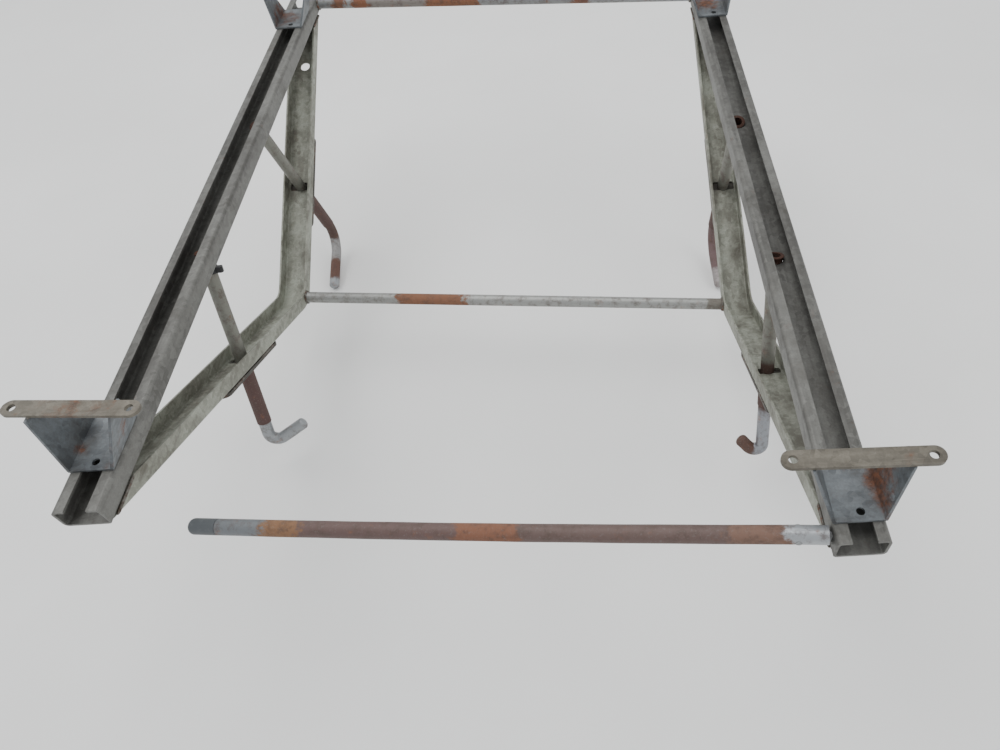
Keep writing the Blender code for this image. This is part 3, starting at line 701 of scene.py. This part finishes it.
# Weld beads ------------------------------------------------------------------------------------
@dataclass
class WeldBead:
    """Bead laid along a path, fat in the middle of each drop and tapered at its two ends."""

    name: str
    path: Array
    radius: float = 0.0016
    pitch: float = 0.0024
    looped: bool = False
    sides: int = 10

    def rings(self) -> Array:
        """Sweep the bead.

        Returns:
            Rings whose radius is the bead's radius times 0.86 plus 0.14 times the size of a
            sine of the distance over the pitch, and tapers over the last pitch of an open bead.
        """
        if self.looped:
            closed = np.concatenate((self.path, self.path[:1]))
        else:
            closed = self.path
        gaps = np.linalg.norm(np.diff(closed, axis=0), axis=1)
        length = np.concatenate(([0.0], np.cumsum(gaps)))
        count = max(int(length[-1] / self.pitch * 4), 8)
        samples = np.linspace(0, length[-1], count, endpoint=not self.looped)
        path = np.stack([np.interp(samples, length, closed[:, axis]) for axis in range(3)], axis=-1)
        radius = self.radius * (0.86 + 0.14 * np.abs(np.sin(np.pi * samples / self.pitch)))
        if not self.looped:
            edge = np.minimum(samples, length[-1] - samples)
            radius = radius * np.sqrt(np.clip(edge / self.pitch, 0.06, 1.0))
        return sweep(path, radius, self.sides)

    def build(self, material: bpy.types.Material) -> bpy.types.Object:
        """Make the bead and fix it to the frame.

        Args:
            material: Weld metal.

        Returns:
            The bead.
        """
        piece = ring_surface(self.name, self.rings(), self.looped)
        settle(piece, "frame", material)
        return piece


def line(start: Sequence[float], end: Sequence[float], count: int = 12) -> Array:
    """Points in a straight row: the start plus even shares of the way to the end."""
    share = np.linspace(0, 1, count)[:, None]
    return np.array(start)[None, :] * (1 - share) + np.array(end)[None, :] * share


def loop_about_x(middle: Array, radius: float, slant: float, count: int = 48) -> Array:
    """Closed loop in a plane of constant X, stretched along Y by the slant of what it circles."""
    angle = np.linspace(0, 2 * np.pi, count, endpoint=False)
    y = middle[1] + radius * slant * np.cos(angle)
    z = middle[2] + radius * np.sin(angle)
    return np.stack((np.full(count, middle[0]), y, z), axis=-1)


# Sub-assemblies --------------------------------------------------------------------------------
@dataclass
class SideFrame:
    """Rail, chord, doublers and their welds on one side of the rack."""

    side: Side
    weld_end: float = 0.042

    def dress(self, rail: bpy.types.Material, chord: bpy.types.Material, plate: bpy.types.Material) -> None:
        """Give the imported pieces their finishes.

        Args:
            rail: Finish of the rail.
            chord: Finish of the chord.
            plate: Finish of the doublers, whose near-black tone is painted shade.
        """
        dress_node(f"top_rail_{self.side.word}", rail)
        dress_node(f"lower_chord_{self.side.word}", chord)
        for row in Row:
            dress_node(f"doubler_{row.word}_{self.side.word}", plate)

    def welds(self, material: bpy.types.Material) -> None:
        """Lay beads where the chord meets the rail and along the doublers.

        Args:
            material: Weld metal.
        """
        low, high = spot(f"lower_chord_{self.side.word}")
        top = high[2]
        for end, y, reach in (("front", low[1], self.weld_end), ("rear", high[1], -self.weld_end)):
            for edge, x in (("a", low[0]), ("b", high[0])):
                start = (x, y + reach * 0.10, top)
                finish = (x, y + reach, top)
                name = f"chord_weld_{end}_{edge}_{self.side.word}"
                WeldBead(name, line(start, finish, 24), 0.0015).build(material)
        for row in Row:
            self._doubler_welds(row, material)

    def _doubler_welds(self, row: Row, material: bpy.types.Material) -> None:
        """Short beads on both long sides of a doubler, along the chord's slope."""
        low, high = spot(f"doubler_{row.word}_{self.side.word}")
        thick = 0.004
        falls = row is Row.FRONT
        near_top, far_top = (high[2], low[2] + thick) if falls else (low[2] + thick, high[2])
        for index, (begin, finish) in enumerate(((0.10, 0.34), (0.66, 0.90))):
            for edge, x in (("a", low[0] + 0.0006), ("b", high[0] - 0.0006)):
                ends = []
                for share in (begin, finish):
                    z = near_top + (far_top - near_top) * share - thick * 0.1
                    ends.append((x, low[1] + (high[1] - low[1]) * share, z))
                name = f"doubler_weld_{row.word}_{index}_{edge}_{self.side.word}"
                WeldBead(name, line(ends[0], ends[1], 16), 0.0013).build(material)


@dataclass
class RoundBar:
    """Straight round bar between the side frames, its ends cut along their walls."""

    node: str
    radius: float = 0.0075
    sides: int = 48
    rows: int = 90
    seed: int = 3

    def axis(self) -> tuple[Array, Array]:
        """Middle points of the right and left ends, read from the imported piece's box."""
        low, high = spot(self.node)
        run = high[0] - low[0]
        slant = math.hypot(1.0, (high[1] - low[1] - 2 * self.radius) / run)
        z = (low[2] + high[2]) / 2
        right = np.array((high[0], low[1] + self.radius * slant, z))
        left = np.array((low[0], high[1] - self.radius * slant, z))
        return right, left

    def build(self, material: bpy.types.Material, bead: bpy.types.Material) -> None:
        """Make the tube and the weld round each of its ends.

        Args:
            material: Finish of the bar.
            bead: Weld metal.
        """
        right, left = self.axis()
        share = np.linspace(0, 1, self.rows)[:, None]
        path = right[None, :] * (1 - share) + left[None, :] * share
        wave = ripple(self.rows, self.sides, 0.00012, self.seed)
        wave[0] = wave[-1] = 0.0
        rings = sweep(path, self.radius - 0.00008 + wave * 0.6, self.sides)
        direction = (left - right) / np.linalg.norm(left - right)
        slide = (path[:, None, 0] - rings[:, :, 0]) / direction[0]
        rings = rings + slide[:, :, None] * direction[None, None, :]
        piece = ring_surface(f"{self.node}_tube", rings)
        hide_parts(self.node)
        settle(piece, "frame", material)
        slant = 1 / abs(direction[0])
        for end, middle, inward in (("right", right, -0.0006), ("left", left, 0.0006)):
            ring = loop_about_x(middle + np.array((inward, 0, 0)), self.radius + 0.0004, slant)
            WeldBead(f"{self.node}_weld_{end}", ring, 0.0015, 0.0026, True).build(bead)


@dataclass
class DropBar:
    """Front bar: slotted tube on the pivot, slight sag, and a round plug in its free end."""

    radius: float = 0.0075
    wall: float = 0.0015
    reach: float = 0.524
    plug_length: float = 0.029
    overhang: float = 0.0218
    sag: float = 0.0035
    yaw: float = math.radians(8.2)
    droop: float = math.radians(7.3)
    slot_width: float = 0.0052
    slot_end: float = 0.0066
    pin_hole: float = 0.0026
    sides: int = 48

    def axes(self) -> tuple[Array, Array, Array, Array]:
        """Pivot, direction out along the bar, pivot axis and the bar's upper side."""
        joint = next(j for j in frame["joints"] if j["name"] == "front_bar_pivot")
        pivot = np.array(joint["pos_m"])
        along = np.array(joint["axis"])
        out = np.array((-math.cos(self.yaw), math.sin(self.yaw), 0.0)) * math.cos(self.droop)
        out = out - np.array((0.0, 0.0, math.sin(self.droop)))
        return pivot, out, along, np.cross(out, along)

    def place(self, distance: Array) -> Array:
        """Centre line of the bar.

        Args:
            distance: Distances from the pivot.

        Returns:
            Points that hang below the straight line by four times the sag, times the share of
            the length, times one less that share.
        """
        pivot, out, _, up = self.axes()
        share = np.clip(distance / self.reach, 0, 1)
        drop = -4 * self.sag * share * (1 - share)
        return pivot + distance[:, None] * out + drop[:, None] * up

    def build(self, tube: bpy.types.Material, plug: bpy.types.Material, steel: bpy.types.Material) -> None:
        """Make the tube, its plug and dress the pivot.

        Args:
            tube: Finish of the tube.
            plug: Finish of the plug.
            steel: Finish of the lug and pin.
        """
        end = self.reach - self.plug_length
        distance = np.linspace(-self.overhang, end, 120)
        path = self.place(distance)
        wave = ripple(len(distance), self.sides, 0.00022, 11)
        wave[:12] = 0.0
        wave[-4:] = 0.0
        outside = sweep(path, self.radius - 0.00015 + wave * 0.6, self.sides)
        inside = sweep(path, np.full(len(distance), self.radius - self.wall), self.sides)[::-1]
        bar = ring_surface("front_bar_tube", np.concatenate((outside, inside)), True)
        baked_cut(bar, self._cutters())
        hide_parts("front_bar")
        settle(bar, "front_bar", tube)
        cap = ring_surface("front_bar_plug", self._plug_rings(end))
        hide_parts("front_bar_cap")
        settle(cap, "front_bar", plug)
        dress_node("pivot_lug", steel)
        dress_node("pivot_pin", steel)

    def _cutters(self) -> list[bpy.types.Object]:
        """Shapes of the slot, open at the end and underneath, and of the pin's hole."""
        pivot, out, along, up = self.axes()
        angle = np.linspace(0, 2 * np.pi, 24, endpoint=False)
        circle = np.cos(angle)[:, None] * out + np.sin(angle)[:, None] * up
        ends = np.array((-2.0, 2.0))[:, None, None] * self.radius * along[None, None, :]
        hole = ring_surface("pin_hole_cutter", pivot + self.pin_hole * circle[None, :, :] + ends)
        half = self.slot_width / 2
        corners = np.array(((-0.032, -half), (self.slot_end, -half), (self.slot_end, half), (-0.032, half)))
        flat = corners[:, :1] * out + corners[:, 1:] * along
        levels = np.array((-0.016, 0.0))[:, None, None] * up[None, None, :]
        slot = ring_surface("slot_cutter", pivot + flat[None, :, :] + levels)
        return [hole, slot]

    def _plug_rings(self, end: float) -> Array:
        """Rings of the plug: a spigot, a shoulder, a straight part and a dome.

        Args:
            end: Distance from the pivot to the end of the tube.

        Returns:
            Rings; the dome's radius is the tube's times the cosine of an angle, at a distance
            of three quarters of it times the sine.
        """
        dome = self.radius * 0.75
        turn = np.radians(np.linspace(0, 84, 14))
        straight = end + self.plug_length - dome
        spigot = self.radius - self.wall - 0.0003
        near = (end - 0.014, end + 0.0003, end + 0.0004)
        distance = np.concatenate((near, straight + dome * np.sin(turn)))
        body = self.radius - 0.0001
        radius = np.concatenate(((spigot, spigot, body), body * np.cos(turn)))
        pivot, out, along, up = self.axes()
        centre = self.place(distance)
        angle = np.linspace(0, 2 * np.pi, self.sides, endpoint=False)
        circle = np.cos(angle)[:, None] * along + np.sin(angle)[:, None] * up
        return centre[:, None, :] + radius[:, None, None] * circle[None, :, :]


@dataclass
class HookRod:
    """Tube rod with a spread top and a bent hook."""

    row: Row
    side: Side
    shank: float
    tip: float
    bend: float
    turn: float
    bend_radius: float
    bands: tuple[Band, ...]
    radius: float = 0.0075
    bore: float = 0.0055
    rim: float = 0.0090
    rim_rise: float = 0.0059528
    sides: int = 40
    joint: dict = field(init=False)

    def __post_init__(self) -> None:
        """Find the rod's own joint."""
        name = f"hook_{self.row.word}_{self.side.word}_swivel"
        self.joint = next(j for j in frame["joints"] if j["name"] == name)

    def centre_line(self, start: float) -> Array:
        """Path down the shank, round the bend and out to the tip.

        Args:
            start: Distance of the first point below the rail's underside.

        Returns:
            Points. The bend is an arc from the shank's direction towards the turned side,
            and both straights are tangent to it.
        """
        origin = np.array(self.joint["pos_m"])
        down = np.array(self.joint["axis"])
        inward = np.array((-self.side.value, 0.0, 0.0))
        middle = np.array((0.0, -down[2], down[1]))
        if self.row is Row.REAR:
            middle = -middle
        turn = math.radians(self.turn)
        bend = math.radians(self.bend)
        aside = middle * math.cos(turn) + inward * math.sin(turn)
        tangent = self.bend_radius * math.tan(bend / 2)
        shank = np.linspace(start, self.shank - tangent, 60)[:-1, None] * down
        angle = np.linspace(0, bend, 36)[:, None]
        arc = down * (self.shank - tangent + self.bend_radius * np.sin(angle))
        arc = arc + aside * self.bend_radius * (1 - np.cos(angle))
        out = down * math.cos(bend) + aside * math.sin(bend)
        elbow = down * self.shank
        last = np.linspace(tangent, self.tip - self.radius * 0.6, 24)[1:, None]
        return origin + np.concatenate((shank, arc, elbow + out * last))

    def build(self) -> None:
        """Make the rod as one closed surface, with its bore open at the top."""
        path = self.centre_line(-self.rim_rise)
        rows = len(path)
        outer = np.full(rows, self.radius - 0.0001)
        outer_table = outer[:, None] + ripple(rows, self.sides, 0.00012, 5 + rows)
        rod = sweep(path, outer_table, self.sides)
        top = self._flat_rings(path, ((0.0009, self.radius), (0.0009, self.rim), (-0.0002, self.rim)))
        inside = ((-0.0006, self.rim - 0.0006), (-0.0006, self.bore), (0.02, self.bore))
        lip = self._flat_rings(path, inside)
        tip = self._dome(path)
        rings = np.concatenate((lip[::-1], top[::-1], rod[2:], tip))
        piece = ring_surface(f"hook_{self.row.word}_{self.side.word}_tube", rings)
        node = f"hook_rod_{self.row.word}_{self.side.word}"
        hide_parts(node)
        length = float(np.linalg.norm(np.diff(path, axis=0), axis=1).sum())
        settle(piece, f"hook_{self.row.word}_{self.side.word}", self._finish(length))

    def _flat_rings(self, path: Array, stations: Sequence[tuple[float, float]]) -> Array:
        """Rings about the shank's line at given distances below the path's start."""
        down = np.array(self.joint["axis"])
        _, across, along = path_frames(path)
        angle = np.linspace(0, 2 * np.pi, self.sides, endpoint=False)
        circle = np.cos(angle)[:, None] * across[0] + np.sin(angle)[:, None] * along[0]
        rings = [path[0] + down * distance + radius * circle for distance, radius in stations]
        return np.stack(rings)

    def _dome(self, path: Array) -> Array:
        """Rings of the rounded tip: radius times a cosine, pushed out by 0.6 radius times a sine."""
        tangent, across, along = path_frames(path)
        turn = np.radians(np.linspace(12, 84, 9))
        angle = np.linspace(0, 2 * np.pi, self.sides, endpoint=False)
        circle = np.cos(angle)[:, None] * across[-1] + np.sin(angle)[:, None] * along[-1]
        centre = path[-1] + tangent[-1] * (self.radius * 0.6 * np.sin(turn))[:, None]
        radius = (self.radius - 0.0001) * np.cos(turn)
        return centre[:, None, :] + radius[:, None, None] * circle[None, :, :]

    def _finish(self, length: float) -> bpy.types.Material:
        """Bands up the rod from its tip, with a rusty spread top.

        Args:
            length: Distance from the tip to the top of the rod.

        Returns:
            The material.
        """
        bands = self.bands + (Band(length - 0.006, "4A3026", 0.05, 0.88),)
        return BandedTube(f"banded_hook_{self.row.word}_{self.side.word}", 3, bands, 5.0).build()


@dataclass
class Bracket:
    """Folded bracket with its strip on top and the welds between them."""

    row: Row
    side: Side
    strip_width: float = 0.015

    def dress(self, sheet: bpy.types.Material, strip: bpy.types.Material) -> None:
        """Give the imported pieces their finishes."""
        dress_node(f"bracket_{self.row.word}_{self.side.word}", sheet)
        dress_node(f"strip_{self.row.word}_{self.side.word}", strip)

    def welds(self, material: bpy.types.Material) -> None:
        """Lay a bead under the strip along the top of each flank.

        Args:
            material: Weld metal.
        """
        low, high = spot(f"bracket_{self.row.word}_{self.side.word}")
        strip_low, strip_high = spot(f"strip_{self.row.word}_{self.side.word}")
        y = (strip_low[1] + strip_high[1]) / 2
        half = self.strip_width / 2
        for edge, x in (("a", low[0] + 0.0022), ("b", high[0] - 0.0022)):
            start = (x, y - half + 0.001, high[2] + 0.0001)
            end = (x, y + half - 0.001, high[2] + 0.0001)
            name = f"strip_weld_{self.row.word}_{edge}_{self.side.word}"
            WeldBead(name, line(start, end, 10), 0.0016, 0.0028).build(material)


@dataclass
class Rivet:
    """Domed rivet head on a flank."""

    name: str
    middle: tuple[float, float, float]
    facing: tuple[float, float, float]
    radius: float = 0.0032
    height: float = 0.0016

    def build(self, material: bpy.types.Material) -> None:
        """Turn the head: radius times a cosine against height times a sine, with a dimple."""
        normal = np.array(self.facing) / np.linalg.norm(self.facing)
        across = np.cross(normal, (0.0, 1.0, 0.0))
        across /= np.linalg.norm(across)
        along = np.cross(normal, across)
        turn = np.linspace(0, np.pi / 2 * 0.94, 12)
        angle = np.linspace(0, 2 * np.pi, 28, endpoint=False)
        circle = np.cos(angle)[:, None] * across + np.sin(angle)[:, None] * along
        radius = np.concatenate(((self.radius * 0.6, self.radius), self.radius * np.cos(turn[1:])))
        rise = np.concatenate(((-0.0004, -0.0004), self.height * np.sin(turn[1:])))
        rise[-2:] -= 0.0004
        rings = np.array(self.middle) + rise[:, None, None] * normal + radius[:, None, None] * circle
        settle(ring_surface(self.name, rings), "frame", material)


# Studio ----------------------------------------------------------------------------------------
@dataclass
class Studio:
    """Floor, soft lights and camera."""

    lens: float = 26.564
    shift: float = -0.0902
    camera_place: tuple[float, float, float] = (0.122391, -0.7074, 0.80923)

    def floor(self) -> None:
        """Lay a wide pale floor with a faint mottle under the rack."""
        size = 6.0
        mesh = bpy.data.meshes.new("floor")
        low = -0.0005
        corners = [(-size, -size, low), (size, -size, low), (size, size, low), (-size, size, low)]
        mesh.from_pydata(corners, [], [(0, 1, 2, 3)])
        ground = bpy.data.objects.new("floor", mesh)
        bpy.context.scene.collection.objects.link(ground)
        desk = NodeDesk("matt_floor")
        colour = desk.mix(desk.noise(400, 3), linear(FLOOR_HEX), linear("E6E6E4"))
        mesh.materials.append(desk.finish(colour, 0.9, 0.0, desk.noise(30, 2), 0.02))

    def light(self, name: str, place: Sequence[float], size: float, power: float) -> None:
        """Hang a square lamp that faces the rack's middle.

        Args:
            name: Name of the lamp.
            place: Where it hangs.
            size: Side of its square.
            power: Watts.
        """
        data = bpy.data.lights.new(name, "AREA")
        data.energy = power
        data.size = size
        lamp = bpy.data.objects.new(name, data)
        bpy.context.scene.collection.objects.link(lamp)
        aim = Vector((0.0, 0.0, 0.15)) - Vector(place)
        lamp.location = place
        lamp.rotation_euler = aim.to_track_quat("-Z", "Y").to_euler()

    def build(self) -> None:
        """Set up floor, sky, lamps and camera."""
        self.floor()
        world = bpy.data.worlds.new("studio_sky")
        world.use_nodes = True
        world.node_tree.nodes["Background"].inputs["Color"].default_value = linear("F2F4F6")
        world.node_tree.nodes["Background"].inputs["Strength"].default_value = 1.0
        bpy.context.scene.world = world
        self.light("sky_panel", (-0.6, 0.6, 2.6), 2.4, 48.0)
        self.light("side_panel", (2.2, -0.9, 1.8), 1.6, 16.0)
        data = bpy.data.cameras.new("view")
        data.sensor_width = 36.0
        data.lens = self.lens
        data.shift_x = self.shift
        data.clip_start = 0.01
        camera = bpy.data.objects.new("view", data)
        bpy.context.scene.collection.objects.link(camera)
        right = Vector((0.99771751, -0.03615968, -0.05702846))
        down = Vector((-0.06378545, -0.78185998, -0.62018254))
        forward = Vector((-0.02216267, 0.62240456, -0.78238186))
        turn = Matrix((right, -down, -forward)).transposed()
        camera.matrix_world = Matrix.Translation(self.camera_place) @ turn.to_4x4()
        bpy.context.scene.camera = camera


UPPER_ZINC = "77776F"
HOOKS = (
    HookRod(
        Row.FRONT,
        Side.LEFT,
        shank=0.2536,
        tip=0.052,
        bend=117.0,
        turn=75.0,
        bend_radius=0.011,
        bands=(Band(0.0, "929597", 0.62, 0.40), Band(0.16, UPPER_ZINC, 0.4, 0.55)),
    ),
    HookRod(
        Row.FRONT,
        Side.RIGHT,
        shank=0.2536,
        tip=0.039,
        bend=136.0,
        turn=75.0,
        bend_radius=0.0095,
        bands=(
            Band(0.0, "553E35", 0.10, 0.72),
            Band(0.024, "8E9196", 0.62, 0.40),
            Band(0.088, "4E3A34", 0.10, 0.72),
            Band(0.15, UPPER_ZINC, 0.4, 0.55),
        ),
    ),
    HookRod(
        Row.REAR,
        Side.LEFT,
        shank=0.2780,
        tip=0.103,
        bend=100.0,
        turn=4.0,
        bend_radius=0.030,
        bands=(
            Band(0.0, "96999C", 0.5, 0.45),
            Band(0.015, "5E4238", 0.1, 0.72),
            Band(0.052, "8F8E8D", 0.5, 0.45),
            Band(0.094, "4E3A34", 0.1, 0.68),
            Band(0.225, UPPER_ZINC, 0.4, 0.55),
        ),
    ),
    HookRod(
        Row.REAR,
        Side.RIGHT,
        shank=0.2780,
        tip=0.093,
        bend=100.0,
        turn=-1.0,
        bend_radius=0.030,
        bands=(
            Band(0.0, "96908F", 0.5, 0.48),
            Band(0.030, "655150", 0.1, 0.68),
            Band(0.215, UPPER_ZINC, 0.4, 0.55),
        ),
    ),
)


def main() -> None:
    """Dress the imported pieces, add the new ones and set the studio."""
    logging.basicConfig(level=logging.INFO, format="%(name)s: %(message)s")
    bead = BEAD_METAL.build()
    rail, chord, plate = RAIL_ZINC.build(), CHORD_ZINC.build(), DOUBLER_STEEL_AND_SHADE.build()
    sheet, strip = BRACKET_ZINC.build(), STRIP_STEEL.build()
    for side in Side:
        frame_side = SideFrame(side)
        frame_side.dress(rail, chord, plate)
        frame_side.welds(bead)
        for row in Row:
            bracket = Bracket(row, side)
            bracket.dress(sheet, strip)
            bracket.welds(bead)
    RoundBar("centre_bar", seed=3).build(CENTRE_BAR_FINISH.build(), bead)
    RoundBar("rear_bar", seed=8).build(REAR_BAR_FINISH.build(), bead)
    DropBar().build(FRONT_BAR_FINISH.build(), END_PLUG.build(), PIVOT_STEEL.build())
    sleeve = OXIDE_SLEEVE.build()
    for hook in HOOKS:
        hook.build()
        dress_node(f"hook_sleeve_{hook.row.word}_{hook.side.word}", sleeve)
    dress_node("cable_tie", TIE_NYLON.build())
    Rivet("flank_rivet", (0.3222, -0.4534, 0.3268), (-1.0, 0.0, 0.18)).build(sheet)
    Studio().build()


if __name__ == "__main__":
    main()
